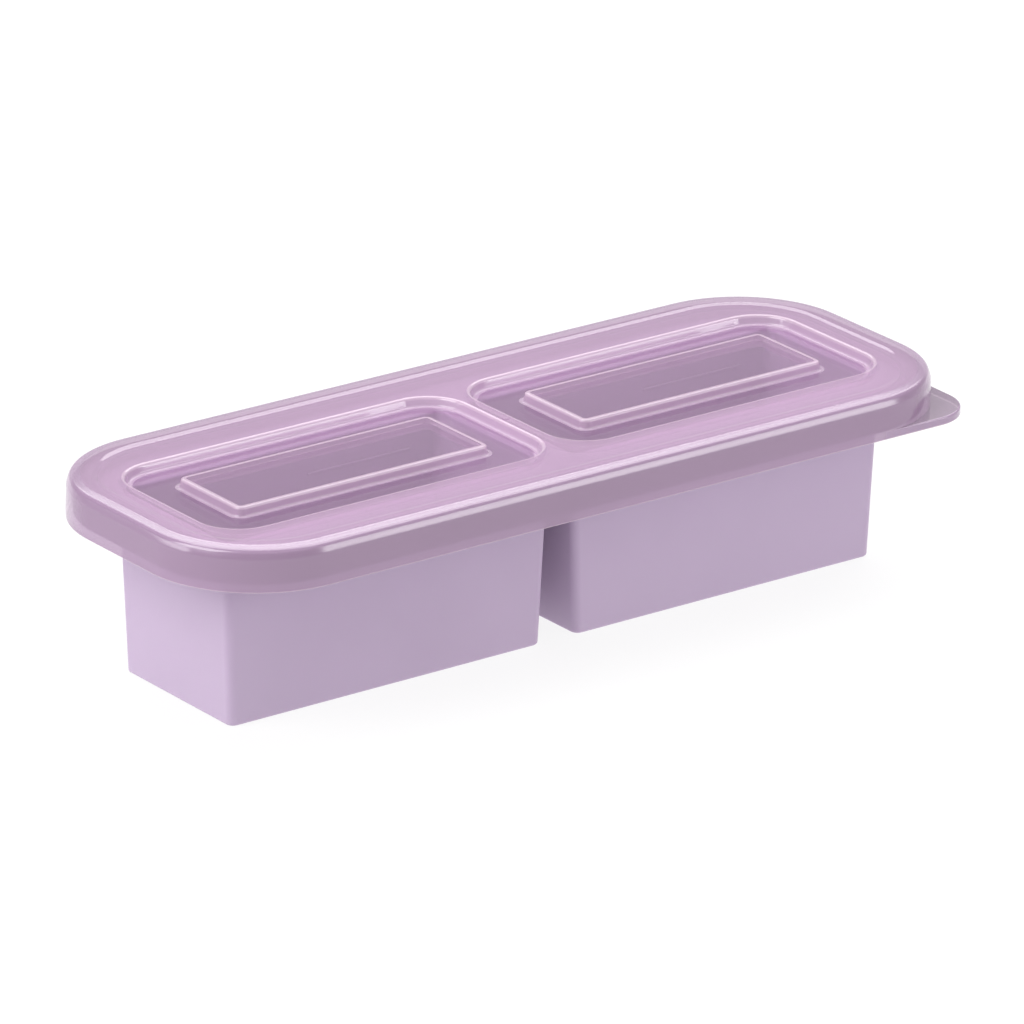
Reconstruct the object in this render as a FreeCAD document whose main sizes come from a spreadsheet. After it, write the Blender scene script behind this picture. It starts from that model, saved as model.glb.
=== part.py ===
import FreeCAD, Part

import math
import os

import Sketcher

# Two-portion silicone freezer tray with a clear snap-over lid. Millimetres, +Z up. The origin is on
# the table under the middle of the tray, X runs along the row of wells and Y across it, to the back.

# Driving sizes: alias, value, what it measures
SIZES = [
    ("cup_end_margin", 1.1, "end of a recess to the well's outside, level with the flange's top"),
    ("cup_side_margin", 2.25, "side of a recess to the well's outside, at the same level"),
    ("cup_end_taper", 2.25, "each end of a well narrows by this, from the flange to the table"),
    ("cup_side_taper", 0.75, "each side of a well narrows by this"),
    ("cup_edge_radius", 2.4, "upright edges outside a well"),
    ("cup_base_bevel", 0.7, "eased edge round the base of a well"),
    ("well_edge_radius", 1.9, "upright and floor edges inside a well"),
    ("well_mouth_bevel", 0.7, "eased edge where a well opens in the flange"),
    ("silicone_wall", 1.5, "wall of a well"),
    ("floor_thickness", 1.8, "floor of a well"),
    ("flange_height", 52.0, "table to the flange's top"),
    ("flange_thickness", 2.0, "web between the wells and out to the lip"),
    ("lip_height", 6.4, "downturned lip, top to bottom"),
    ("lip_width", 4.6, "downturned lip, outer face to inner face"),
    ("rim_width", 5.2, "rim that stands up above the flange, outer face to inner face"),
    ("rim_gap", 0.1, "top of the rim to the lid's underside"),
    ("rim_bevel", 1.3, "eased outer edge of the rim, which clears the lid's shoulder"),
    ("rim_inner_bevel", 0.6, "eased inner edge of the rim"),
    ("lip_foot_bevel", 0.6, "eased lower edges of the lip"),
    ("frame_width", 2.6, "steel frame moulded into the lip, across the lip"),
    ("frame_thickness", 1.0, "steel frame, top to bottom"),
    ("fill_line_height", 43.0, "table to the middle of the fill line"),
    ("fill_line_length", 34.0, "fill line along X"),
    ("fill_line_inset", 8.6, "fill line's right end to the well's right end, at the base"),
    ("fill_line_band", 0.8, "fill line, height of the raised band"),
    ("fill_line_rise", 0.35, "fill line, how far it stands off the wall"),
    ("lid_length", 250.0, "outside of the skirt along X, at its lower edge"),
    ("lid_width", 95.6, "outside of the skirt along Y, at its lower edge"),
    ("lid_corner_radius", 32.8, "plan radius of the lid's corners"),
    ("lid_wall", 1.3, "lid sheet and skirt"),
    ("lid_shoulder_radius", 2.7, "outer edge between skirt and top"),
    ("lid_clearance", 0.35, "skirt to lip, each side, level with the flange's top"),
    ("skirt_draft", 2.0, "degrees that the skirt leans in above its straight foot"),
    ("skirt_overhang", 1.4, "skirt's lower edge below the lip's"),
    ("bead_width", 7.2, "raised border round the lid's top"),
    ("bead_rise", 0.3, "raised border above the lid's deck"),
    ("bead_slope", 1.4, "run of the slope from the border to the deck"),
    ("bead_foot", 0.05, "upright foot of that slope"),
    ("recess_end_margin", 14.8, "lid's end to the nearer recess, at the deck"),
    ("recess_side_margin", 20.4, "lid's side to a recess, at the deck"),
    ("recess_land", 4.8, "deck between the two recesses"),
    ("recess_corner_radius", 12.0, "plan radius of a recess's corners"),
    ("recess_depth", 2.5, "deck to the floor of a recess"),
    ("recess_draft", 14.0, "degrees that a recess's walls lean"),
    ("recess_edge_bevel", 0.7, "eased upper edge of a recess"),
    ("panel_end_gap", 13.25, "end of a recess to its raised panel, at the deck"),
    ("panel_side_gap", 13.45, "side of a recess to its raised panel, at the deck"),
    ("panel_corner_radius", 2.2, "plan radius of a panel's corners"),
    ("panel_draft", 8.0, "degrees that a panel's walls lean"),
    ("panel_edge_bevel", 0.6, "eased upper edge of a panel"),
    ("tab_corner_radius", 13.0, "plan radius of the peel tab's corner"),
    ("tab_thickness", 2.3, "peel tab, and the straight foot of the skirt"),
    ("gate_diameter", 2.2, "moulding mark in the middle of the lid"),
    ("gate_rise", 0.3, "height of the moulding mark"),
]

# Sizes that follow from them: alias, formula
DERIVED = [
    ("recess_length", "(lid_length - recess_land) / 2 - recess_end_margin"),
    ("recess_width", "lid_width - 2 * recess_side_margin"),
    ("well_pitch", "recess_length + recess_land"),
    ("panel_length", "recess_length - 2 * panel_end_gap"),
    ("panel_width", "recess_width - 2 * panel_side_gap"),
    ("cup_top_length", "recess_length - 2 * cup_end_margin"),
    ("cup_top_width", "recess_width - 2 * cup_side_margin"),
    ("cup_base_length", "cup_top_length - 2 * cup_end_taper"),
    ("cup_base_width", "cup_top_width - 2 * cup_side_taper"),
    ("lip_bottom", "flange_height - lip_height"),
    ("skirt_bottom", "lip_bottom - skirt_overhang"),
    ("tab_top", "skirt_bottom + tab_thickness"),
    ("skirt_slope", "tan(skirt_draft * 1 deg)"),
    ("lip_inset", "(flange_height - skirt_bottom) * skirt_slope + lid_wall + lid_clearance"),
    ("lip_length", "lid_length - 2 * lip_inset"),
    ("lip_breadth", "lid_width - 2 * lip_inset"),
    ("lip_corner_radius", "lid_corner_radius - lip_inset"),
    ("length_growth", "(cup_top_length - cup_base_length) / flange_height"),
    ("width_growth", "(cup_top_width - cup_base_width) / flange_height"),
    ("fill_line_depth", "(cup_base_width + width_growth * fill_line_height) / 2 - silicone_wall"),
    ("frame_bottom", "lip_bottom + (lip_height - frame_thickness) / 2"),
    ("frame_inset", "(lip_width - frame_width) / 2"),
    ("recess_floor", "flange_height + lid_wall"),
    ("deck_height", "recess_floor + recess_depth"),
    ("deck_underside", "deck_height - lid_wall"),
    ("lid_top", "deck_height + bead_rise"),
    ("rim_top", "deck_underside - rim_gap"),
]

NEAR = 0.02


def make_sheet():
    table = doc.addObject("Spreadsheet::Sheet", "sizes")
    rows = [(alias, str(value), note) for alias, value, note in SIZES]
    rows += [(alias, "=" + formula, "follows from the sizes above") for alias, formula in DERIVED]
    for row, (alias, content, note) in enumerate(rows, start=1):
        table.set(f"A{row}", alias)
        table.set(f"B{row}", content)
        table.set(f"C{row}", note)
        table.setAlias(f"B{row}", alias)
    doc.recompute()
    return table


def size(alias):
    return float(sheet.get(alias))


def bind(thing, prop, formula):
    """Tie a property to a formula in the sheet's aliases."""
    aliases = {entry[0] for entry in SIZES + DERIVED}
    text = ""
    word = ""
    for letter in formula + " ":
        if letter.isalnum() or letter == "_":
            word += letter
            continue
        text += ("sizes." + word if word in aliases else word) + letter
        word = ""
    thing.setExpression(prop, text.strip())


def new_body(label):
    body = doc.addObject("PartDesign::Body", label)
    body.Label = label
    return body


def origin_part(body, role):
    return next(part for part in body.Origin.OriginFeatures if part.Role == role)


def new_sketch(body, name, role="XY_Plane", **offsets):
    """A sketch on an origin plane. offsets shift it along its own x, y and z by formulas."""
    sketch = body.newObject("Sketcher::SketchObject", name)
    sketch.AttachmentSupport = [(origin_part(body, role), "")]
    sketch.MapMode = "FlatFace"
    for axis, formula in offsets.items():
        bind(sketch, "AttachmentOffset.Base." + axis, formula)
    return sketch


def constrain(sketch, name, formula, kind, *geometry):
    """Add a dimension called name and tie it to a formula."""
    index = sketch.addConstraint(Sketcher.Constraint(kind, *geometry))
    sketch.renameConstraint(index, name)
    bind(sketch, "Constraints." + name, formula)


def line(x0, y0, x1, y1):
    return Part.LineSegment(FreeCAD.Vector(x0, y0, 0), FreeCAD.Vector(x1, y1, 0))


def square_up(sketch, first=0):
    """Make the first and third of four sides horizontal, and the others vertical."""
    for side in (first, first + 2):
        sketch.addConstraint(Sketcher.Constraint("Horizontal", side))
    for side in (first + 1, first + 3):
        sketch.addConstraint(Sketcher.Constraint("Vertical", side))


def rectangle(sketch, length, width):
    """A rectangle centred on the sketch's origin."""
    x, y = 9, 4
    corners = [(-x, -y), (x, -y), (x, y), (-x, y)]
    for i in range(4):
        sketch.addGeometry(line(*corners[i], *corners[(i + 1) % 4]))
    for i in range(4):
        sketch.addConstraint(Sketcher.Constraint("Coincident", i, 2, (i + 1) % 4, 1))
    square_up(sketch)
    sketch.addConstraint(Sketcher.Constraint("Symmetric", 0, 1, 2, 1, -1, 1))
    constrain(sketch, "length", length, "DistanceX", 0, 1, 0, 2, 2 * x)
    constrain(sketch, "width", width, "DistanceY", 1, 1, 1, 2, 2 * y)


def rounded_rectangle(sketch, length, width, radius, name=""):
    """A rectangle with round corners, centred on the sketch's origin. name sets two apart."""
    first = sketch.GeometryCount
    x, y, r = 45, 30, 10
    sides = [line(-x + r, -y, x - r, -y), line(x, -y + r, x, y - r),
             line(x - r, y, -x + r, y), line(-x, y - r, -x, -y + r)]
    for side in sides:
        sketch.addGeometry(side)
    quarter = math.pi / 2
    corners = [(x - r, -y + r, 3), (x - r, y - r, 0), (-x + r, y - r, 1), (-x + r, -y + r, 2)]
    for cx, cy, turn in corners:
        circle = Part.Circle(FreeCAD.Vector(cx, cy, 0), FreeCAD.Vector(0, 0, 1), r)
        sketch.addGeometry(Part.ArcOfCircle(circle, turn * quarter, (turn + 1) * quarter))
    bottom, right, top, left = range(first, first + 4)
    corner = first + 4
    for i in range(4):
        after = first + (i + 1) % 4
        sketch.addConstraint(Sketcher.Constraint("Tangent", first + i, 2, corner + i, 1))
        sketch.addConstraint(Sketcher.Constraint("Tangent", corner + i, 2, after, 1))
    square_up(sketch, first)
    for i in (1, 2, 3):
        sketch.addConstraint(Sketcher.Constraint("Equal", corner, corner + i))
    sketch.addConstraint(Sketcher.Constraint("Symmetric", corner, 3, corner + 2, 3, -1, 1))
    constrain(sketch, name + "length", length, "DistanceX", left, 1, right, 1, 2 * x)
    constrain(sketch, name + "width", width, "DistanceY", bottom, 1, top, 1, 2 * y)
    constrain(sketch, name + "radius", radius, "Radius", corner, r)


def quarter_plate(sketch, length, width, radius):
    """The +X -Y quarter of a rectangle, with its outer corner rounded."""
    x, y, r = 45, 30, 10
    edges = [line(0, -y, x - r, -y), line(x, -y + r, x, 0), line(x, 0, 0, 0), line(0, 0, 0, -y)]
    for edge in edges:
        sketch.addGeometry(edge)
    circle = Part.Circle(FreeCAD.Vector(x - r, -y + r, 0), FreeCAD.Vector(0, 0, 1), r)
    sketch.addGeometry(Part.ArcOfCircle(circle, 1.5 * math.pi, 2 * math.pi))
    sketch.addConstraint(Sketcher.Constraint("Tangent", 0, 2, 4, 1))
    sketch.addConstraint(Sketcher.Constraint("Tangent", 4, 2, 1, 1))
    for i, j in ((1, 2), (2, 3), (3, 0)):
        sketch.addConstraint(Sketcher.Constraint("Coincident", i, 2, j, 1))
    square_up(sketch)
    sketch.addConstraint(Sketcher.Constraint("Coincident", 2, 2, -1, 1))
    constrain(sketch, "length", length, "DistanceX", 2, 2, 2, 1, x)
    constrain(sketch, "width", width, "DistanceY", 3, 2, 3, 1, y)
    constrain(sketch, "radius", radius, "Radius", 4, r)


def disc(sketch, diameter):
    sketch.addGeometry(Part.Circle(FreeCAD.Vector(0, 0, 0), FreeCAD.Vector(0, 0, 1), 1))
    sketch.addConstraint(Sketcher.Constraint("Coincident", 0, 3, -1, 1))
    constrain(sketch, "diameter", diameter, "Diameter", 0, 2)


def extrude(body, kind, name, profile, length, down=False):
    """A Pad or a Pocket that goes up from its sketch, or down."""
    feature = body.newObject("PartDesign::" + kind, name)
    feature.Profile = profile
    feature.Reversed = down if kind == "Pad" else not down
    bind(feature, "Length", length)
    doc.recompute()
    return feature


def wedge(body, kind, name, low, high, base, top):
    """A tapered block over the left well: base and top are its (length, width) at low and high."""
    feature = body.newObject("PartDesign::" + kind, name)
    feature.AttachmentSupport = [(origin_part(body, "XZ_Plane"), "")]
    feature.MapMode = "FlatFace"
    bind(feature, "AttachmentOffset.Base.x", "-well_pitch / 2")
    bind(feature, "Ymin", low)
    bind(feature, "Ymax", high)
    for (length, width), mark in ((base, ""), (top, "2")):
        bind(feature, f"X{mark}min", f"-({length}) / 2")
        bind(feature, f"X{mark}max", f"({length}) / 2")
        bind(feature, f"Z{mark}min", f"-({width}) / 2")
        bind(feature, f"Z{mark}max", f"({width}) / 2")
    doc.recompute()
    return feature


def repeat_over_wells(body, name, features):
    pattern = body.newObject("PartDesign::LinearPattern", name)
    pattern.Originals = features
    pattern.Direction = (origin_part(body, "X_Axis"), [""])
    pattern.Occurrences = 2
    bind(pattern, "Length", "well_pitch")
    body.Tip = pattern
    doc.recompute()


def dress(body, kind, name, shapes, letter, wanted):
    """Add a Fillet, Chamfer or Draft to the edges or faces that wanted() picks from the body so far."""
    base = body.Tip
    picked = [f"{letter}{i}" for i, item in enumerate(shapes(base.Shape), start=1) if wanted(item)]
    if not picked:
        raise RuntimeError("nothing to change for " + name)
    feature = body.newObject("PartDesign::" + kind, name)
    feature.Base = (base, picked)
    body.Tip = feature
    return feature


def round_edges(body, name, radius, wanted):
    fillet = dress(body, "Fillet", name, lambda shape: shape.Edges, "Edge", wanted)
    bind(fillet, "Radius", radius)
    doc.recompute()


def bevel_edges(body, name, wanted, width, height=None):
    chamfer = dress(body, "Chamfer", name, lambda shape: shape.Edges, "Edge", wanted)
    bind(chamfer, "Size", width)
    if height:
        chamfer.ChamferType = "Two distances"
        bind(chamfer, "Size2", height)
    doc.recompute()


def draft_walls(body, name, level, angle, wanted, widen=False):
    """Lean walls by an angle about a level that keeps its size. widen spreads them below it."""
    plane = body.newObject("PartDesign::Plane", name + "_level")
    plane.AttachmentSupport = [(origin_part(body, "XY_Plane"), "")]
    plane.MapMode = "FlatFace"
    bind(plane, "AttachmentOffset.Base.z", level)
    doc.recompute()
    draft = dress(body, "Draft", name, lambda shape: shape.Faces, "Face", wanted)
    draft.NeutralPlane = (plane, [""])
    draft.Reversed = widen
    bind(draft, "Angle", angle)
    doc.recompute()


def spans(item, low, high):
    """True if an edge or face runs from one height to another."""
    box = item.BoundBox
    return abs(box.ZMin - low) < NEAR and abs(box.ZMax - high) < NEAR


def in_plan(item, length, width, middle=0):
    """True if an edge or face keeps within a plan rectangle about a point on the X axis."""
    box = item.BoundBox
    along = max(abs(box.XMin - middle), abs(box.XMax - middle))
    across = max(abs(box.YMin), abs(box.YMax))
    return along < length / 2 + NEAR and across < width / 2 + NEAR


def in_well(item, length, width):
    """True if it keeps within a plan rectangle about the middle of the well on its side."""
    middle = math.copysign(size("well_pitch") / 2, item.BoundBox.Center.x)
    return in_plan(item, length, width, middle)


def frame_ring(body, name):
    """Plan of the steel frame: two rounded rectangles, one in the other."""
    ring = new_sketch(body, name, z="frame_bottom")
    for edge, inset in (("outer_", "frame_inset"), ("inner_", "frame_inset + frame_width")):
        rounded_rectangle(ring, f"lip_length - 2 * ({inset})", f"lip_breadth - 2 * ({inset})",
                          f"lip_corner_radius - ({inset})", edge)
    return ring


def make_frame():
    body = new_body("rim_frame")
    extrude(body, "Pad", "frame", frame_ring(body, "frame_outline"), "frame_thickness")
    return body


def make_tray():
    """Flange in a raised rim with a downturned lip, and two tapered wells hanging from it."""
    body = new_body("silicone_tray")
    flange, lip_bottom, rim_top = size("flange_height"), size("lip_bottom"), size("rim_top")

    rim = new_sketch(body, "rim_outline", z="lip_bottom")
    rounded_rectangle(rim, "lip_length", "lip_breadth", "lip_corner_radius")
    extrude(body, "Pad", "rim_block", rim, "rim_top - lip_bottom")
    bevel_edges(body, "rim_outer_edge", lambda edge: spans(edge, rim_top, rim_top), "rim_bevel")
    basin = new_sketch(body, "basin_outline", z="rim_top")
    rounded_rectangle(basin, "lip_length - 2 * rim_width", "lip_breadth - 2 * rim_width",
                      "lip_corner_radius - rim_width")
    extrude(body, "Pocket", "basin", basin, "rim_top - flange_height", down=True)
    basin_plan = (size("lip_length") - 2 * size("rim_width"),
                  size("lip_breadth") - 2 * size("rim_width"))
    bevel_edges(body, "rim_inner_edge",
                lambda edge: spans(edge, rim_top, rim_top) and in_plan(edge, *basin_plan),
                "rim_inner_bevel")
    hollow = new_sketch(body, "rim_hollow_outline", z="lip_bottom")
    rounded_rectangle(hollow, "lip_length - 2 * lip_width", "lip_breadth - 2 * lip_width",
                      "lip_corner_radius - lip_width")
    extrude(body, "Pocket", "rim_hollow", hollow, "lip_height - flange_thickness")
    bevel_edges(body, "lip_lower_edges", lambda edge: spans(edge, lip_bottom, lip_bottom),
                "lip_foot_bevel")
    extrude(body, "Pocket", "frame_channel", frame_ring(body, "frame_channel_outline"),
            "frame_thickness")

    cup = wedge(body, "AdditiveWedge", "cup", "0", "flange_height",
                ("cup_base_length", "cup_base_width"), ("cup_top_length", "cup_top_width"))
    well = wedge(body, "SubtractiveWedge", "well", "floor_thickness", "flange_height",
                 ("cup_base_length + length_growth * floor_thickness - 2 * silicone_wall",
                  "cup_base_width + width_growth * floor_thickness - 2 * silicone_wall"),
                 ("cup_top_length - 2 * silicone_wall", "cup_top_width - 2 * silicone_wall"))
    band = new_sketch(body, "fill_line_face", role="XZ_Plane", y="fill_line_height",
                      x="(cup_base_length - well_pitch - fill_line_length) / 2 - fill_line_inset",
                      z="fill_line_rise - fill_line_depth")
    rectangle(band, "fill_line_length", "fill_line_band")
    fill_line = extrude(body, "Pad", "fill_line", band, "fill_line_rise + silicone_wall / 2",
                        down=True)
    repeat_over_wells(body, "both_wells", [cup, well, fill_line])

    outside = (size("cup_top_length"), size("cup_top_width"))
    inside = tuple(side - 2 * size("silicone_wall") for side in outside)
    web, floor = flange - size("flange_thickness"), size("floor_thickness")
    round_edges(body, "cup_edges", "cup_edge_radius", lambda edge: spans(edge, 0, web))
    bevel_edges(body, "cup_base_edges", lambda edge: spans(edge, 0, 0), "cup_base_bevel")
    round_edges(body, "well_edges", "well_edge_radius",
                lambda edge: spans(edge, floor, floor) or spans(edge, floor, flange))
    bevel_edges(body, "well_mouths",
                lambda edge: spans(edge, flange, flange) and in_well(edge, *inside),
                "well_mouth_bevel")
    return body


def make_lid():
    """Clear moulding: skirt, bordered deck, and a recess with a raised panel over each well."""
    body = new_body("lid")
    foot, under = size("skirt_bottom"), size("deck_underside")
    deck, top = size("deck_height"), size("lid_top")
    tab_top = size("tab_top")

    outline = new_sketch(body, "lid_outline", z="tab_top")
    rounded_rectangle(outline, "lid_length", "lid_width", "lid_corner_radius")
    extrude(body, "Pad", "lid_block", outline, "lid_top - tab_top")
    draft_walls(body, "skirt_lean", "tab_top", "skirt_draft",
                lambda face: spans(face, tab_top, top))
    round_edges(body, "shoulder", "lid_shoulder_radius", lambda edge: spans(edge, top, top))
    skirt_foot = new_sketch(body, "skirt_foot_outline", z="skirt_bottom")
    rounded_rectangle(skirt_foot, "lid_length", "lid_width", "lid_corner_radius")
    extrude(body, "Pad", "skirt_foot", skirt_foot, "tab_thickness")
    tab = new_sketch(body, "tab_outline", z="skirt_bottom")
    quarter_plate(tab, "lid_length / 2", "lid_width / 2", "tab_corner_radius")
    extrude(body, "Pad", "tab", tab, "tab_thickness")

    middle = new_sketch(body, "deck_outline", z="lid_top")
    rounded_rectangle(middle, "lid_length - 2 * (bead_width + bead_slope)",
                      "lid_width - 2 * (bead_width + bead_slope)",
                      "lid_corner_radius - bead_width - bead_slope")
    extrude(body, "Pocket", "deck", middle, "bead_rise", down=True)
    border = size("bead_width") + size("bead_slope")
    deck_plan = (size("lid_length") - 2 * border, size("lid_width") - 2 * border)
    bevel_edges(body, "bead_slope",
                lambda edge: spans(edge, top, top) and in_plan(edge, *deck_plan),
                "bead_slope", "bead_rise - bead_foot")

    inside = new_sketch(body, "inside_outline", z="skirt_bottom")
    rounded_rectangle(inside, "lid_length - 2 * lid_wall", "lid_width - 2 * lid_wall",
                      "lid_corner_radius - lid_wall")
    extrude(body, "Pocket", "inside", inside, "deck_underside - skirt_bottom")
    draft_walls(body, "inside_lean", "skirt_bottom", "skirt_draft",
                lambda face: spans(face, foot, under))
    bevel_edges(body, "inside_shoulder", lambda edge: spans(edge, under, under),
                "lid_shoulder_radius - lid_wall")

    left = "-well_pitch / 2"
    drum_outline = new_sketch(body, "drum_outline", x=left, z="deck_height")
    rounded_rectangle(drum_outline, "recess_length + 2 * lid_wall", "recess_width + 2 * lid_wall",
                      "recess_corner_radius + lid_wall")
    drum = extrude(body, "Pad", "drum", drum_outline, "recess_depth + lid_wall", down=True)
    recess_outline = new_sketch(body, "recess_outline", x=left, z="deck_height")
    rounded_rectangle(recess_outline, "recess_length", "recess_width", "recess_corner_radius")
    recess = extrude(body, "Pocket", "recess", recess_outline, "recess_depth", down=True)
    panel_outline = new_sketch(body, "panel_outline", x=left, z="deck_height")
    rounded_rectangle(panel_outline, "panel_length", "panel_width", "panel_corner_radius")
    panel = extrude(body, "Pad", "panel", panel_outline, "recess_depth", down=True)
    hollow_outline = new_sketch(body, "panel_hollow_outline", x=left, z="flange_height")
    rounded_rectangle(hollow_outline, "panel_length - 2 * lid_wall", "panel_width - 2 * lid_wall",
                      "panel_corner_radius - lid_wall")
    hollow = extrude(body, "Pocket", "panel_hollow", hollow_outline, "recess_depth")
    repeat_over_wells(body, "both_recesses", [drum, recess, panel, hollow])

    seat, floor = size("flange_height"), size("recess_floor")
    panel_plan = (size("panel_length"), size("panel_width"))
    recess_plan = (size("recess_length"), size("recess_width"))
    draft_walls(body, "panel_lean", "deck_height", "panel_draft",
                lambda face: in_well(face, *panel_plan)
                and (spans(face, floor, deck) or spans(face, seat, under)), widen=True)
    draft_walls(body, "recess_lean", "deck_height", "recess_draft",
                lambda face: not in_well(face, *panel_plan)
                and (spans(face, floor, deck) or spans(face, seat, under)))
    bevel_edges(body, "panel_edge",
                lambda edge: spans(edge, deck, deck) and in_well(edge, *panel_plan),
                "panel_edge_bevel")
    bevel_edges(body, "recess_edge",
                lambda edge: spans(edge, deck, deck) and in_well(edge, *recess_plan)
                and not in_well(edge, *panel_plan), "recess_edge_bevel")

    gate = new_sketch(body, "gate_outline", z="deck_height")
    disc(gate, "gate_diameter")
    extrude(body, "Pad", "gate", gate, "gate_rise")
    return body


def check(body):
    for part in body.Group + [body]:
        wrong = {"Invalid", "Error"} & set(part.State)
        if wrong:
            raise RuntimeError(f"{part.Name}: {wrong}")
    shape = body.Shape
    if shape.isNull() or not shape.isValid() or len(shape.Solids) != 1:
        raise RuntimeError(f"{body.Label} is not one valid solid")
    box = shape.optimalBoundingBox()
    print(f"{body.Label}: {shape.Volume / 1000:.2f} cm3, {len(shape.Faces)} faces, "
          f"x {box.XMin:.2f} {box.XMax:.2f} y {box.YMin:.2f} {box.YMax:.2f} "
          f"z {box.ZMin:.2f} {box.ZMax:.2f}")


doc = FreeCAD.newDocument("freezer_tray")
sheet = make_sheet()
bodies = [make_frame(), make_tray(), make_lid()]
doc.recompute()
for body in bodies:
    check(body)
os.makedirs("parts", exist_ok=True)
for body in bodies:
    body.Shape.exportStep(f"parts/{body.Label}.step")
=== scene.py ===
import math

import bmesh
import bpy
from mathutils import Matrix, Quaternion, Vector
from mathutils.geometry import tessellate_polygon


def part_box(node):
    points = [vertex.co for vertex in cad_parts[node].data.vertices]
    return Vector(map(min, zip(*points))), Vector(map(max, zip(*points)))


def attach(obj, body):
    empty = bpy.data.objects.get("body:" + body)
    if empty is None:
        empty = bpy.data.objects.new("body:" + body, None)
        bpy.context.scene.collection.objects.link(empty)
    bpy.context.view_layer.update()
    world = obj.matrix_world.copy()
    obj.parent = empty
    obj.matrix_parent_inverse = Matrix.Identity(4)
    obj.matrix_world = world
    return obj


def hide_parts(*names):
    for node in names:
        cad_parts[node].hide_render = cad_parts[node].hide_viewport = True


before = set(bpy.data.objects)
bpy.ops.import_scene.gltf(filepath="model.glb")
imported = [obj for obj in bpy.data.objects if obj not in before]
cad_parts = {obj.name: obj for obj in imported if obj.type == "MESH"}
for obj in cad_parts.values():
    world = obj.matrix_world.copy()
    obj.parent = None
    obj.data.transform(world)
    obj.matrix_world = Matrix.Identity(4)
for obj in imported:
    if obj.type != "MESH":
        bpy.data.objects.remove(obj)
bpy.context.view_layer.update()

# Lengths are millimetres until a mesh is made, and angles are degrees. A lean is how far a wall goes
# in for each millimetre of height. A point of a profile is (inset from the outline, height).
MM = 0.001
LID_LOW, LID_HIGH = (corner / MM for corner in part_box("lid"))
TRAY_LOW, TRAY_HIGH = (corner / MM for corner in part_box("silicone_tray"))

# Lid: skirt, shoulder and border
LID_LENGTH = LID_HIGH.x - LID_LOW.x
LID_WIDTH = LID_HIGH.y - LID_LOW.y
LID_TOP = LID_HIGH.z
LID_CORNER = 32.8
LID_WALL = 1.3
BORDER_WIDTH = 7.2
BORDER_SLOPE = 1.4
BORDER_RISE = 0.3
BORDER_RADIUS = 4
BORDER_FOOT = BORDER_WIDTH + BORDER_SLOPE
DECK = LID_TOP - BORDER_RISE
DECK_RUN = 0.8
DECK_UNDERSIDE = DECK - LID_WALL
SHOULDER_HEIGHT = 0.35
SHOULDER_RADIUS = 1.6
SHOULDER_LEAN = math.tan(math.radians(20.0))
SHOULDER_DEPTH = 2.4
SHOULDER_FOOT_RADIUS = 3
SHOULDER_REACH = 2 * LID_WALL
INNER_SHOULDER = 1.3
CROWN = LID_TOP - SHOULDER_HEIGHT
CROWN_REACH = 4.4
CROWN_RADIUS = 10
SKIRT_LEAN = math.tan(math.radians(2.0))
SKIRT_BOTTOM = LID_LOW.z
FOOT_EDGE = 0.35
FOOT_RUN = 0.6

# Lid: tab and moulding mark
TAB_CORNER = 13.0
TAB_TOP = SKIRT_BOTTOM + 2.3
TAB_EDGE = 0.5
MARK_RADIUS = 1.1
MARK_EDGE = 0.12
MARK_RUN = 0.5

# Lid: a recess over each well, with a raised panel in it
RECESS_DEPTH = 2.5
RECESS_FLOOR = DECK - RECESS_DEPTH
RECESS_END_MARGIN = 14.8
RECESS_SIDE_MARGIN = 20.4
RECESS_LAND = 4.8
RECESS_LENGTH = (LID_LENGTH - RECESS_LAND) / 2 - RECESS_END_MARGIN
RECESS_WIDTH = LID_WIDTH - 2 * RECESS_SIDE_MARGIN
RECESS_CORNER = 12.0
RECESS_LEAN = math.tan(math.radians(14.0))
PANEL_END_MARGIN = 13.25
PANEL_SIDE_MARGIN = 13.45
PANEL_LENGTH = RECESS_LENGTH - 2 * PANEL_END_MARGIN
PANEL_WIDTH = RECESS_WIDTH - 2 * PANEL_SIDE_MARGIN
PANEL_CORNER = 2.2
PANEL_LEAN = math.tan(math.radians(8.0))
SEAT_AIR = 0.03
SEAT = RECESS_FLOOR - LID_WALL + SEAT_AIR
WELL_PITCH = RECESS_LENGTH + RECESS_LAND
WELL_MIDDLES = (-WELL_PITCH / 2, WELL_PITCH / 2)

# Tray: flange, raised rim and lip
FLANGE = RECESS_FLOOR - LID_WALL
FLANGE_RUN = 2
WEB_THICKNESS = 2.0
WEB_UNDERSIDE = FLANGE - WEB_THICKNESS
RIM_TOP = TRAY_HIGH.z
RIM_WIDTH = 5.2
RIM_EDGE = 1.25
RIM_SLOPE = 0.5
RIM_FOOT_RADIUS = 0.8
LIP_LENGTH = TRAY_HIGH.x - TRAY_LOW.x
LIP_BREADTH = TRAY_HIGH.y - TRAY_LOW.y
LIP_CORNER = LID_CORNER - (LID_LENGTH - LIP_LENGTH) / 2
LIP_WIDTH = 4.6
LIP_DEPTH = 6.4
LIP_BOTTOM = FLANGE - LIP_DEPTH
LIP_EDGE = 0.6
LIP_ROOT_RADIUS = 0.8

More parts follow.
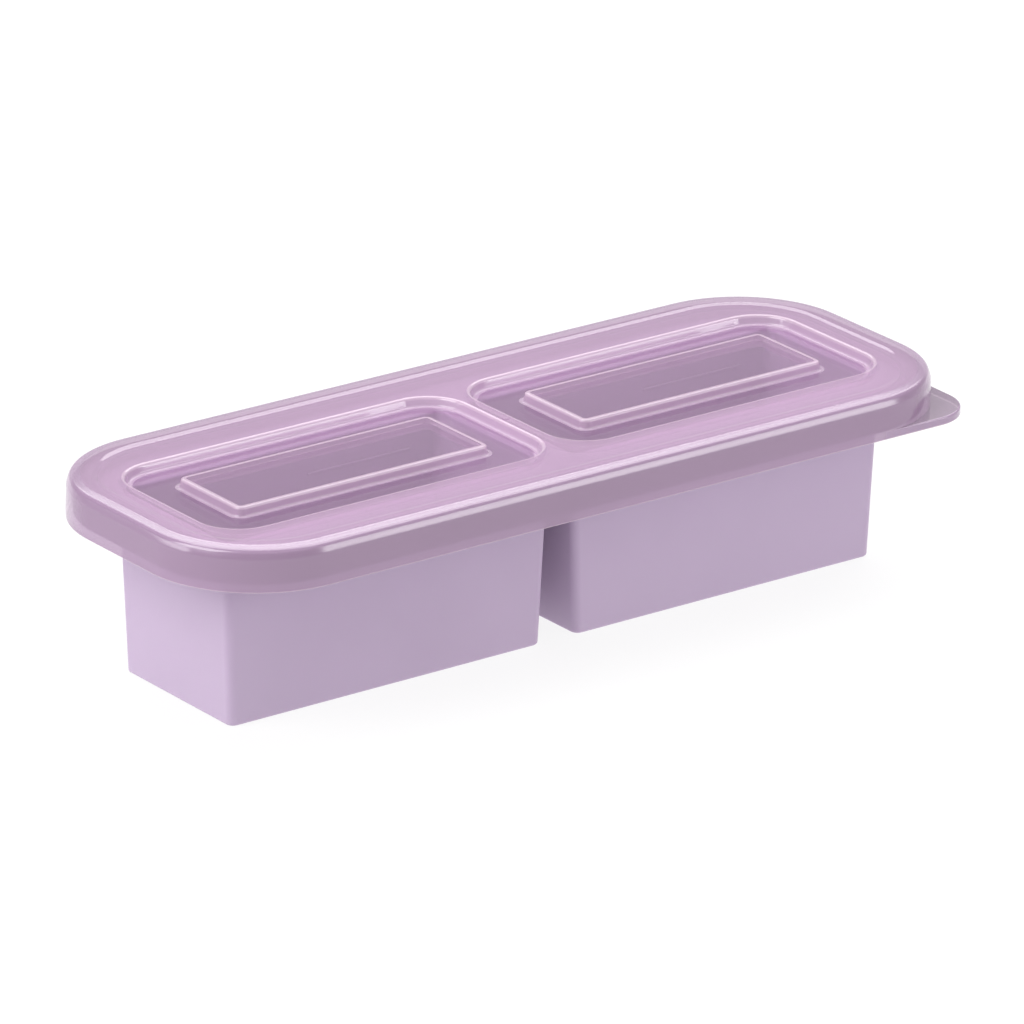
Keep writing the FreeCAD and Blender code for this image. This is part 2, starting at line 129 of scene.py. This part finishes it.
# Tray: wells and their fill lines
CUP_END_LEDGE = 1.1
CUP_SIDE_LEDGE = 2.25
CUP_TOP_LENGTH = RECESS_LENGTH - 2 * CUP_END_LEDGE
CUP_TOP_WIDTH = RECESS_WIDTH - 2 * CUP_SIDE_LEDGE
CUP_END_LEAN = 2.25 / FLANGE
CUP_SIDE_LEAN = 0.75 / FLANGE
CUP_EDGE = 2.4
CUP_BASE_EDGE = 0.8
CUP_WALL = 1.5
CUP_FLOOR = 1.8
WELL_EDGE = 1.9
FILL_LINE_HEIGHT = 43.0
FILL_LINE_LENGTH = 34.0
FILL_LINE_BAND = 0.8
FILL_LINE_RISE = 0.35
FILL_LINE_SINK = 0.4
FILL_LINE_EDGE = 0.2
FILL_LINE_RUN = 0.3
FILL_LINE_OFFSET = 24.95

# Steps: the level run before, the radius of each of the two corners, the level run after
RECESS_STEP = (0.9, 0.9, 0.8, 1.4)
PANEL_STEP = (1.2, 0.6, 0.7, 1.4)
DRUM_STEP = (0.7, 0.4, 0.6, 1.4)
HOLLOW_STEP = (1.0, 0.4, 0.5, 0.8)
CUP_STEP = (2.0, 1.0, CUP_BASE_EDGE, CUP_EDGE + 1)
WELL_STEP = (1.6, 0.8, WELL_EDGE, WELL_EDGE + 1)

# How finely the meshes are made
LID_CORNER_STEPS = 28
WELL_CORNER_STEPS = 12
FILL_LINE_CORNER_STEPS = 4
ARC_STEP = 11.0
EDGE_STEPS = 6
MARK_STEPS = 32
TAB_STRAIGHT_STEPS = 6
MERGE_DISTANCE = 2e-6
SHARP_ANGLE = 38.0
QUARTER_TURN = [math.radians(90 / EDGE_STEPS * step) for step in range(EDGE_STEPS + 1)]
PLAIN_SKIRT_POINTS = 3 * (LID_CORNER_STEPS + 1)

# Finishes of the lid: name, how milky, how rough, colour of the milk, colour of what shows through.
# The milk is lighter on the walls and edges as painted light, and the milk and see-through colours
# are darker on the skirt and tab as painted shade.
FINISHES = (
    ("clear_pane", 0.10, 0.06, (0.64, 0.41, 0.645), (0.965, 0.90, 0.96)),
    ("clear_border", 0.33, 0.06, (0.62, 0.41, 0.605), (0.95, 0.895, 0.95)),
    # Painted light: the walls' milk is lighter and heavier than the pane's, over the lid's own haze, so
    # they show as light pink bands.
    ("wall_painted_light", 0.44, 0.07, (0.73, 0.55, 0.71), (0.95, 0.90, 0.945)),
    # Painted highlight: the rounded edges get the lightest, milkiest finish, which draws thin bright
    # lines along them.
    ("edge_painted_highlight", 0.50, 0.08, (0.75, 0.57, 0.705), (0.955, 0.89, 0.945)),
    # Painted shade: the skirt's dark milk and darker see-through colour paint the shade on the skirt and
    # on the lip behind it.
    ("skirt_painted_shade", 0.60, 0.18, (0.368, 0.233, 0.373), (0.93, 0.85, 0.94)),
    # Painted shade: the tab's grey milk and dark see-through colour paint the shadow under and behind
    # the tab, on its face and sides.
    ("tab_face_painted_shade", 0.60, 0.10, (0.32, 0.23, 0.325), (0.80, 0.74, 0.80)),
    ("tab_side_painted_shade", 0.75, 0.10, (0.34, 0.22, 0.36), (0.80, 0.72, 0.80)),
)
PANE, BORDER, WALL, EDGE, SKIRT, TAB, TAB_SIDE = range(len(FINISHES))

# Studio, in metres
FLOOR_HALF = 6.0
WORLD_STRENGTH = 0.7
AIM = Vector((0, -0.0032, 0.02993))
# Lights: name, azimuth, elevation, distance, width, height, how bright the face looks
SOFTBOXES = (
    ("overhead", 140, 58, 1.5, 1.7, 1.7, 2.4),
    ("left", -95, 38, 1.5, 1.1, 1.0, 3.75),
    ("end_strip", -116, 11, 1.3, 0.9, 0.17, 3.4),
    ("front_strip", 38, 14, 1.3, 0.62, 0.44, 3.7),
)
CAMERA_AZIMUTH = -36.876
CAMERA_ELEVATION = 21.1
CAMERA_DISTANCE = 2.41263
CAMERA_ROLL = 0.6057
CAMERA_LENS = 316.53
CAMERA_SENSOR = 36


def rounded_profile(*corners):
    """Points (inset, height) along a line whose corners (inset, height, radius) are rounded."""
    line = [Vector(corners[0][:2])]
    for before, here, after in zip(corners, corners[1:], corners[2:]):
        corner, radius = Vector(here[:2]), here[2]
        back = (Vector(before[:2]) - corner).normalized()
        ahead = (Vector(after[:2]) - corner).normalized()
        half = back.angle(ahead) / 2
        centre = corner + (back + ahead).normalized() * radius / math.sin(half)
        reach = radius / math.tan(half)
        first, last = corner + back * reach - centre, corner + ahead * reach - centre
        turn = math.pi - 2 * half
        steps = max(2, math.ceil(turn / math.radians(ARC_STEP)))
        for step in range(steps + 1):
            share = step / steps
            line.append(centre + (first * math.sin((1 - share) * turn)
                                  + last * math.sin(share * turn)) / math.sin(turn))
    line.append(Vector(corners[-1][:2]))
    return line


def step_profile(first, last, step):
    """A profile between two level runs, with a round corner at first and at last."""
    run_before, first_radius, last_radius, run_after = step
    return rounded_profile((first[0] - run_before, first[1]), (*first, first_radius),
                           (*last, last_radius), (last[0] + run_after, last[1]))


def longest_step(line):
    """Where the longest straight run of a profile starts."""
    steps = [(there - here).length for here, there in zip(line, line[1:])]
    return steps.index(max(steps))


def rounded_rectangle(length, width, radius, height, middle=0.0, steps=LID_CORNER_STEPS):
    """A level loop of points, anticlockwise from the +X +Y corner."""
    loop = []
    for quarter, (right, back) in enumerate(((1, 1), (-1, 1), (-1, -1), (1, -1))):
        x = middle + right * (length / 2 - radius)
        y = back * (width / 2 - radius)
        for step in range(steps + 1):
            angle = (quarter + step / steps) * math.pi / 2
            loop.append(Vector((x + radius * math.cos(angle), y + radius * math.sin(angle), height)))
    return loop


class Shell:
    """A closed mesh made of loops of points. Loops that meet are merged at the end."""

    def __init__(self):
        self.points = []
        self.faces = []
        self.finishes = []
        self.finish = 0

    def add(self, loop):
        first = len(self.points)
        self.points.extend(loop)
        return list(range(first, len(self.points)))

    def face(self, *corners):
        self.faces.append(corners)
        self.finishes.append(self.finish)

    def loft(self, loops, closed=True):
        rings = [self.add(loop) for loop in loops]
        for low, high in zip(rings, rings[1:]):
            for i in range(0 if closed else 1, len(low)):
                self.face(low[i - 1], low[i], high[i], high[i - 1])

    def cap(self, outer, *holes):
        """A flat face inside one loop and outside the others."""
        numbers = self.add(outer)
        for hole in holes:
            numbers += self.add(hole)
        for triangle in tessellate_polygon([outer, *holes]):
            self.face(*(numbers[i] for i in triangle))

    def make(self, name, materials, body, node):
        mesh = bpy.data.meshes.new(name)
        mesh.from_pydata([point * MM for point in self.points], [], self.faces)
        for material in materials:
            mesh.materials.append(material)
        mesh.polygons.foreach_set("material_index", self.finishes)
        work = bmesh.new()
        work.from_mesh(mesh)
        bmesh.ops.remove_doubles(work, verts=work.verts, dist=MERGE_DISTANCE)
        bmesh.ops.dissolve_degenerate(work, edges=work.edges, dist=MERGE_DISTANCE)
        bmesh.ops.recalc_face_normals(work, faces=work.faces)
        open_edges = [edge for edge in work.edges if len(edge.link_faces) != 2]
        if open_edges:
            raise RuntimeError(f"{name}: {len(open_edges)} open edges")
        work.to_mesh(mesh)
        work.free()
        mesh.shade_smooth()
        mesh.set_sharp_from_angle(angle=math.radians(SHARP_ANGLE))
        piece = bpy.data.objects.new(name, mesh)
        bpy.context.scene.collection.objects.link(piece)
        weighted = piece.modifiers.new("even_normals", "WEIGHTED_NORMAL")
        weighted.keep_sharp = True
        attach(piece, body)
        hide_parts(node)


def lid_loop(point):
    inset, height = point
    return rounded_rectangle(LID_LENGTH - 2 * inset, LID_WIDTH - 2 * inset, LID_CORNER - inset, height)


def recess_loop(point, middle):
    inset, height = point
    return rounded_rectangle(RECESS_LENGTH - 2 * inset, RECESS_WIDTH - 2 * inset,
                             RECESS_CORNER - inset, height, middle, WELL_CORNER_STEPS)


def panel_loop(point, middle):
    inset, height = point
    return rounded_rectangle(PANEL_LENGTH - 2 * inset, PANEL_WIDTH - 2 * inset,
                             PANEL_CORNER - inset, height, middle, WELL_CORNER_STEPS)


def mark_loop(point):
    inset, height = point
    radius = MARK_RADIUS - inset
    angles = (2 * math.pi * step / MARK_STEPS for step in range(MARK_STEPS))
    return [Vector((radius * math.cos(a), radius * math.sin(a), height)) for a in angles]


def tab_path():
    """Points (x, y, inward x, inward y) round the tab's outer edge."""
    x, y = LID_LENGTH / 2, -LID_WIDTH / 2
    run = LID_CORNER - TAB_CORNER
    path = [(x - LID_CORNER + run * i / TAB_STRAIGHT_STEPS, y, 0, 1) for i in range(TAB_STRAIGHT_STEPS)]
    for step in range(LID_CORNER_STEPS + 1):
        angle = (3 + step / LID_CORNER_STEPS) * math.pi / 2
        out = (math.cos(angle), math.sin(angle))
        path.append((x - TAB_CORNER + TAB_CORNER * out[0], y + TAB_CORNER + TAB_CORNER * out[1],
                     -out[0], -out[1]))
    path += [(x, y + TAB_CORNER + run * i / TAB_STRAIGHT_STEPS, -1, 0)
             for i in range(1, TAB_STRAIGHT_STEPS + 1)]
    return path


def tab_edge_radius(i, count):
    """The tab's upper edge is round, and fades out where the tab meets the skirt."""
    from_end = min(i, count - 1 - i) / TAB_STRAIGHT_STEPS
    return TAB_EDGE * min(1.0, from_end)


def tab_edge_ring(angle):
    """One line of points along the tab's rounded upper edge."""
    path = tab_path()
    ring = []
    for i, (x, y, u, v) in enumerate(path):
        radius = tab_edge_radius(i, len(path))
        inset = radius * (1 - math.cos(angle))
        height = TAB_TOP - radius * (1 - math.sin(angle))
        ring.append(Vector((x + inset * u, y + inset * v, height)))
    return ring


def foot_loop(angle):
    """The skirt's outline with the tab at the +X -Y corner, along its rounded lower edge."""
    inset = FOOT_EDGE * (1 - math.sin(angle))
    height = SKIRT_BOTTOM + FOOT_EDGE * (1 - math.cos(angle))
    plain = lid_loop((inset, height))[:PLAIN_SKIRT_POINTS]
    return plain + [Vector((x + inset * u, y + inset * v, height)) for x, y, u, v in tab_path()]


def lid_outside():
    """From the level of the tab's top up the skirt, over the border and down to the deck."""
    shoulder_foot = CROWN - SHOULDER_DEPTH
    skirt_rise = (shoulder_foot - TAB_TOP) * SKIRT_LEAN
    return rounded_profile(
        (0, TAB_TOP), (skirt_rise, shoulder_foot, SHOULDER_FOOT_RADIUS),
        (skirt_rise + SHOULDER_DEPTH * SHOULDER_LEAN, CROWN, SHOULDER_RADIUS),
        (CROWN_REACH, LID_TOP, CROWN_RADIUS), (BORDER_WIDTH, LID_TOP, BORDER_RADIUS),
        (BORDER_FOOT, DECK, BORDER_RADIUS), (BORDER_FOOT + DECK_RUN, DECK))


def lid_inside():
    """From the skirt's bottom up its inner face and in under the border."""
    rise = (DECK_UNDERSIDE - SKIRT_BOTTOM) * SKIRT_LEAN
    return rounded_profile(
        (LID_WALL - FOOT_RUN, SKIRT_BOTTOM), (LID_WALL, SKIRT_BOTTOM, FOOT_EDGE),
        (LID_WALL + rise, DECK_UNDERSIDE, INNER_SHOULDER), (BORDER_FOOT, DECK_UNDERSIDE))


def add_skirt_and_border(shell, outside, inside):
    shoulder_end = next(i for i, point in enumerate(outside) if point.x > SHOULDER_REACH)
    shell.finish = SKIRT
    shell.loft([lid_loop(point) for point in outside[:shoulder_end + 1]])
    shell.finish = BORDER
    shell.loft([lid_loop(point) for point in outside[shoulder_end:]])
    shell.finish = SKIRT
    shell.loft([lid_loop(point) for point in inside])


def add_foot_and_tab(shell, skirt_start, inner_foot):
    """What joins the skirt's outer and inner face at the bottom, with the tab at one corner."""
    foot = [foot_loop(angle) for angle in QUARTER_TURN]
    wall_foot = foot[-1]
    shell.finish = EDGE
    shell.loft(foot)
    shell.finish = TAB
    shell.cap(foot[0], inner_foot)
    shell.finish = SKIRT
    shell.loft([[loop[-1]] + loop[:PLAIN_SKIRT_POINTS + 1] for loop in (wall_foot, skirt_start)],
               closed=False)
    shell.finish = TAB_SIDE
    tab_rings = [wall_foot[PLAIN_SKIRT_POINTS:]] + [tab_edge_ring(angle) for angle in QUARTER_TURN]
    shell.loft(tab_rings, closed=False)
    shell.finish = TAB
    shell.cap(tab_rings[-1] + skirt_start[PLAIN_SKIRT_POINTS + 1:-1][::-1])


def recess_profiles():
    """Recess and panel from above, and the drum and hollow that they make underneath."""
    panel_foot = -RECESS_DEPTH * PANEL_LEAN
    drum_top = -LID_WALL + LID_WALL * RECESS_LEAN
    drum_foot = -LID_WALL + (DECK - SEAT) * RECESS_LEAN
    hollow_top = LID_WALL - LID_WALL * PANEL_LEAN
    hollow_foot = LID_WALL - (DECK - SEAT) * PANEL_LEAN
    return (step_profile((0, DECK), (RECESS_DEPTH * RECESS_LEAN, RECESS_FLOOR), RECESS_STEP),
            step_profile((panel_foot, RECESS_FLOOR), (0, DECK), PANEL_STEP),
            step_profile((drum_top, DECK_UNDERSIDE), (drum_foot, SEAT), DRUM_STEP),
            step_profile((hollow_foot, SEAT), (hollow_top, DECK_UNDERSIDE), HOLLOW_STEP))


def add_recess(shell, middle, recess, panel, drum, hollow):
    recess_edge, panel_edge = longest_step(recess), longest_step(panel)
    shell.finish = EDGE
    shell.loft([recess_loop(point, middle) for point in recess[:recess_edge + 1]])
    shell.loft([panel_loop(point, middle) for point in panel[panel_edge + 1:]])
    shell.finish = WALL
    shell.loft([recess_loop(point, middle) for point in recess[recess_edge:]])
    shell.loft([panel_loop(point, middle) for point in panel[:panel_edge + 2]])
    shell.finish = PANE
    shell.loft([recess_loop(point, middle) for point in drum])
    shell.loft([panel_loop(point, middle) for point in hollow])
    shell.cap(recess_loop(recess[-1], middle), panel_loop(panel[0], middle))
    shell.cap(panel_loop(panel[-1], middle))
    shell.cap(recess_loop(drum[-1], middle), panel_loop(hollow[0], middle))
    shell.cap(panel_loop(hollow[-1], middle))


def make_lid():
    shell = Shell()
    outside, inside = lid_outside(), lid_inside()
    recess, panel, drum, hollow = recess_profiles()
    add_skirt_and_border(shell, outside, inside)
    add_foot_and_tab(shell, lid_loop(outside[0]), lid_loop(inside[0]))
    for middle in WELL_MIDDLES:
        add_recess(shell, middle, recess, panel, drum, hollow)
    shell.finish = BORDER
    mark = [mark_loop(point) for point in
            rounded_profile((0, DECK), (0, LID_TOP, MARK_EDGE), (MARK_RUN, LID_TOP))]
    shell.loft(mark)
    shell.cap(mark[-1])
    shell.cap(lid_loop(outside[-1]), mark[0], *(recess_loop(recess[0], m) for m in WELL_MIDDLES))
    shell.cap(lid_loop(inside[-1]), *(recess_loop(drum[0], m) for m in WELL_MIDDLES))
    materials = [plastic_material(*finish) for finish in FINISHES]
    shell.make("lid_moulding", materials, "lid", "lid")


def cup_loop(point, middle, wall, edge):
    """The outside of a well, or with a wall its inside, at a height."""
    inset, height = point
    below = FLANGE - height
    length = CUP_TOP_LENGTH - 2 * (below * CUP_END_LEAN + wall + inset)
    width = CUP_TOP_WIDTH - 2 * (below * CUP_SIDE_LEAN + wall + inset)
    return rounded_rectangle(length, width, max(0.0, edge - inset), height, middle, WELL_CORNER_STEPS)


def lip_loop(point):
    inset, height = point
    return rounded_rectangle(LIP_LENGTH - 2 * inset, LIP_BREADTH - 2 * inset, LIP_CORNER - inset, height)


def lip_profile():
    """From the flange's underside round the lip and the raised rim to the flange's top."""
    return rounded_profile(
        (LIP_WIDTH + FLANGE_RUN, WEB_UNDERSIDE), (LIP_WIDTH, WEB_UNDERSIDE, LIP_ROOT_RADIUS),
        (LIP_WIDTH, LIP_BOTTOM, LIP_EDGE), (0, LIP_BOTTOM, LIP_EDGE), (0, RIM_TOP, RIM_EDGE),
        (RIM_WIDTH, RIM_TOP, RIM_FOOT_RADIUS), (RIM_WIDTH + RIM_SLOPE, FLANGE, RIM_FOOT_RADIUS),
        (RIM_WIDTH + FLANGE_RUN, FLANGE))


def add_cup(shell, middle, cup, well):
    """A well. Its floor and base have square corners by then, so a cap takes one point of each."""
    shell.loft([cup_loop(point, middle, 0, CUP_EDGE) for point in cup])
    shell.loft([cup_loop(point, middle, CUP_WALL, WELL_EDGE) for point in well])
    shell.cap(cup_loop(cup[-1], middle, 0, 0)[::WELL_CORNER_STEPS + 1])
    shell.cap(cup_loop(well[-1], middle, CUP_WALL, 0)[::WELL_CORNER_STEPS + 1])


def fill_line_loop(point, middle):
    """A loop on the back wall of a well. The point's height is how far it stands off the wall."""
    inset, rise = point
    wall = CUP_TOP_WIDTH / 2 - (FLANGE - FILL_LINE_HEIGHT) * CUP_SIDE_LEAN - CUP_WALL
    flat = rounded_rectangle(FILL_LINE_LENGTH - 2 * inset, FILL_LINE_BAND - 2 * inset,
                             FILL_LINE_BAND / 2 - inset, 0, middle + FILL_LINE_OFFSET,
                             FILL_LINE_CORNER_STEPS)
    return [Vector((corner.x, wall - rise, FILL_LINE_HEIGHT + corner.y)) for corner in flat]


def add_fill_line(shell, middle):
    band = rounded_profile((0, -FILL_LINE_SINK), (0, FILL_LINE_RISE, FILL_LINE_EDGE),
                           (FILL_LINE_RUN, FILL_LINE_RISE))
    loops = [fill_line_loop(point, middle) for point in band]
    shell.loft(loops)
    shell.cap(loops[0])
    shell.cap(loops[-1])


def make_tray():
    shell = Shell()
    lip = lip_profile()
    cup = step_profile((0, WEB_UNDERSIDE), (0, 0), CUP_STEP)
    well = step_profile((0, FLANGE), (0, CUP_FLOOR), WELL_STEP)
    shell.loft([lip_loop(point) for point in lip])
    for middle in WELL_MIDDLES:
        add_cup(shell, middle, cup, well)
        add_fill_line(shell, middle)
    shell.cap(lip_loop(lip[-1]), *(cup_loop(well[0], m, CUP_WALL, WELL_EDGE) for m in WELL_MIDDLES))
    shell.cap(lip_loop(lip[0]), *(cup_loop(cup[0], m, 0, CUP_EDGE) for m in WELL_MIDDLES))
    shell.make("tray_moulding", [silicone_material()], "tray", "silicone_tray")


def dress_rim_frame():
    rim_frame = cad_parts["rim_frame"]
    rim_frame.data.materials.clear()
    rim_frame.data.materials.append(steel_material())


def new_material(name):
    material = bpy.data.materials.new(name)
    material.use_nodes = True
    tree = material.node_tree
    return material, tree, tree.nodes["Principled BSDF"]


def noise(tree, scale, detail, stretch=(1, 1, 1)):
    """Noise in the piece's own metres: scale is how many grains go in a metre."""
    place = tree.nodes.new("ShaderNodeTexCoord")
    mapping = tree.nodes.new("ShaderNodeMapping")
    mapping.inputs["Scale"].default_value = stretch
    texture = tree.nodes.new("ShaderNodeTexNoise")
    texture.inputs["Scale"].default_value = scale
    texture.inputs["Detail"].default_value = detail
    tree.links.new(place.outputs["Object"], mapping.inputs["Vector"])
    tree.links.new(mapping.outputs["Vector"], texture.inputs["Vector"])
    return texture.outputs["Fac"]


def spread(tree, source, low, high):
    """Map noise to a range of numbers."""
    node = tree.nodes.new("ShaderNodeMapRange")
    node.inputs["From Min"].default_value = 0.3
    node.inputs["From Max"].default_value = 0.7
    node.inputs["To Min"].default_value = low
    node.inputs["To Max"].default_value = high
    tree.links.new(source, node.inputs["Value"])
    return node.outputs["Result"]


def tint(tree, source, low, high):
    """Map noise to a range of colours."""
    node = tree.nodes.new("ShaderNodeValToRGB")
    node.color_ramp.elements[0].position = 0.35
    node.color_ramp.elements[0].color = (*low, 1)
    node.color_ramp.elements[1].position = 0.65
    node.color_ramp.elements[1].color = (*high, 1)
    tree.links.new(source, node.inputs["Fac"])
    return node.outputs["Color"]


def bumps(tree, *layers):
    """Stack bumps, each given as (noise, depth in metres)."""
    normal = None
    for source, depth in layers:
        node = tree.nodes.new("ShaderNodeBump")
        node.inputs["Strength"].default_value = 1.0
        node.inputs["Distance"].default_value = depth
        tree.links.new(source, node.inputs["Height"])
        if normal:
            tree.links.new(normal, node.inputs["Normal"])
        normal = node.outputs["Normal"]
    return normal


def mix_shaders(tree, share, first, second):
    """The first shader, with a share of the second. The share is a number or an output."""
    mix = tree.nodes.new("ShaderNodeMixShader")
    if isinstance(share, float):
        mix.inputs["Fac"].default_value = share
    else:
        tree.links.new(share, mix.inputs["Fac"])
    tree.links.new(first, mix.inputs[1])
    tree.links.new(second, mix.inputs[2])
    return mix.outputs["Shader"]


def mirror_share(tree):
    """How much a face mirrors: little head on, and much more where it is seen edge on."""
    facing = tree.nodes.new("ShaderNodeLayerWeight")
    facing.inputs["Blend"].default_value = 0.5
    steep = tree.nodes.new("ShaderNodeMath")
    steep.operation = "POWER"
    steep.inputs[1].default_value = 5
    tree.links.new(facing.outputs["Facing"], steep.inputs[0])
    share = tree.nodes.new("ShaderNodeMapRange")
    share.inputs["To Min"].default_value = 0.07
    share.inputs["To Max"].default_value = 0.45
    tree.links.new(steep.outputs["Value"], share.inputs["Value"])
    return share.outputs["Result"]


def silicone_material():
    material, tree, shader = new_material("lilac_silicone")
    colour = tint(tree, noise(tree, 16, 3), (0.465, 0.365, 0.505), (0.493, 0.388, 0.535))
    tree.links.new(colour, shader.inputs["Base Color"])
    tree.links.new(spread(tree, noise(tree, 90, 3), 0.44, 0.56), shader.inputs["Roughness"])
    shader.inputs["IOR"].default_value = 1.41
    shader.inputs["Subsurface Weight"].default_value = 0.3
    shader.inputs["Subsurface Radius"].default_value = (1.0, 0.75, 1.0)
    shader.inputs["Subsurface Scale"].default_value = 0.0015
    shader.inputs["Sheen Weight"].default_value = 0.08
    shader.inputs["Sheen Roughness"].default_value = 0.5
    normal = bumps(tree, (noise(tree, 60, 2), 0.00006), (noise(tree, 2200, 2), 0.000012))
    tree.links.new(normal, shader.inputs["Normal"])
    return material


def plastic_material(name, haze, rough, milk_and_painted_light, tint_and_painted_shade):
    """Moulded clear sheet: partly see-through and partly milky, under a mirror that grows edge on. The
    milk colour and the see-through colour also carry painted light and shade for some finishes.
    """
    material, tree, milk = new_material(name)
    colour = tint(tree, noise(tree, 12, 3), [part * 0.97 for part in milk_and_painted_light],
                  [part * 1.03 for part in milk_and_painted_light])
    roughness = spread(tree, noise(tree, 40, 2), 0.9 * rough, 1.1 * rough)
    normal = bumps(tree, (noise(tree, 20, 1), 0.00001))
    tree.links.new(colour, milk.inputs["Base Color"])
    milk.inputs["IOR"].default_value = 1.49
    gloss = tree.nodes.new("ShaderNodeBsdfGlossy")
    gloss.inputs["Color"].default_value = (1, 1, 1, 1)
    for shader in (milk, gloss):
        tree.links.new(roughness, shader.inputs["Roughness"])
        tree.links.new(normal, shader.inputs["Normal"])
    clear = tree.nodes.new("ShaderNodeBsdfTransparent")
    clear.inputs["Color"].default_value = (*tint_and_painted_shade, 1)
    body = mix_shaders(tree, haze, clear.outputs["BSDF"], milk.outputs["BSDF"])
    surface = mix_shaders(tree, mirror_share(tree), body, gloss.outputs["BSDF"])
    tree.links.new(surface, tree.nodes["Material Output"].inputs["Surface"])
    return material


def steel_material():
    material, tree, shader = new_material("frame_steel")
    shader.inputs["Base Color"].default_value = (0.56, 0.57, 0.58, 1)
    shader.inputs["Metallic"].default_value = 1.0
    brushed = noise(tree, 120, 3, (1, 1, 30))
    tree.links.new(spread(tree, brushed, 0.28, 0.45), shader.inputs["Roughness"])
    tree.links.new(bumps(tree, (brushed, 0.00002)), shader.inputs["Normal"])
    return material


def floor_material():
    material, tree, shader = new_material("floor_paper")
    colour = tint(tree, noise(tree, 3, 2), (0.125, 0.125, 0.125), (0.135, 0.135, 0.135))
    tree.links.new(colour, shader.inputs["Base Color"])
    shader.inputs["Roughness"].default_value = 0.8
    shader.inputs["Specular IOR Level"].default_value = 0.2
    shader.inputs["Emission Color"].default_value = (1, 1, 1, 1)
    shader.inputs["Emission Strength"].default_value = 0.86
    return material


def make_floor():
    mesh = bpy.data.meshes.new("floor")
    mesh.from_pydata([(-FLOOR_HALF, -FLOOR_HALF, 0), (FLOOR_HALF, -FLOOR_HALF, 0),
                      (FLOOR_HALF, FLOOR_HALF, 0), (-FLOOR_HALF, FLOOR_HALF, 0)], [], [(0, 1, 2, 3)])
    mesh.materials.append(floor_material())
    floor = bpy.data.objects.new("floor", mesh)
    bpy.context.scene.collection.objects.link(floor)


def direction(azimuth, elevation):
    """From the object outwards. Azimuth 0 is the front and 90 the right."""
    a, e = math.radians(azimuth), math.radians(elevation)
    return Vector((math.sin(a) * math.cos(e), -math.cos(a) * math.cos(e), math.sin(e)))


def softbox(name, azimuth, elevation, distance, width, height, radiance):
    """A flat light aimed at the object."""
    light = bpy.data.lights.new(name, "AREA")
    light.shape = "RECTANGLE"
    light.size, light.size_y = width, height
    light.energy = radiance * math.pi * width * height
    lamp = bpy.data.objects.new(name, light)
    out = direction(azimuth, elevation)
    lamp.location = AIM + out * distance
    lamp.rotation_mode = "QUATERNION"
    lamp.rotation_quaternion = out.to_track_quat("Z", "Y")
    lamp.visible_camera = False
    bpy.context.scene.collection.objects.link(lamp)


def make_lights():
    world = bpy.data.worlds.new("studio")
    world.use_nodes = True
    background = world.node_tree.nodes["Background"]
    background.inputs["Color"].default_value = (1, 1, 1, 1)
    background.inputs["Strength"].default_value = WORLD_STRENGTH
    bpy.context.scene.world = world
    for values in SOFTBOXES:
        softbox(*values)


def make_camera():
    camera = bpy.data.objects.new("camera", bpy.data.cameras.new("camera"))
    back = direction(CAMERA_AZIMUTH, CAMERA_ELEVATION)
    camera.location = AIM + back * CAMERA_DISTANCE
    camera.rotation_mode = "QUATERNION"
    roll = Quaternion((0, 0, 1), math.radians(CAMERA_ROLL))
    camera.rotation_quaternion = (-back).to_track_quat("-Z", "Y") @ roll
    camera.data.sensor_width = CAMERA_SENSOR
    camera.data.lens = CAMERA_LENS
    camera.data.clip_start, camera.data.clip_end = 0.1, 50
    bpy.context.scene.collection.objects.link(camera)
    bpy.context.scene.camera = camera


make_lid()
make_tray()
dress_rim_frame()
make_floor()
make_lights()
make_camera()
bpy.context.scene.view_settings.view_transform = "Standard"
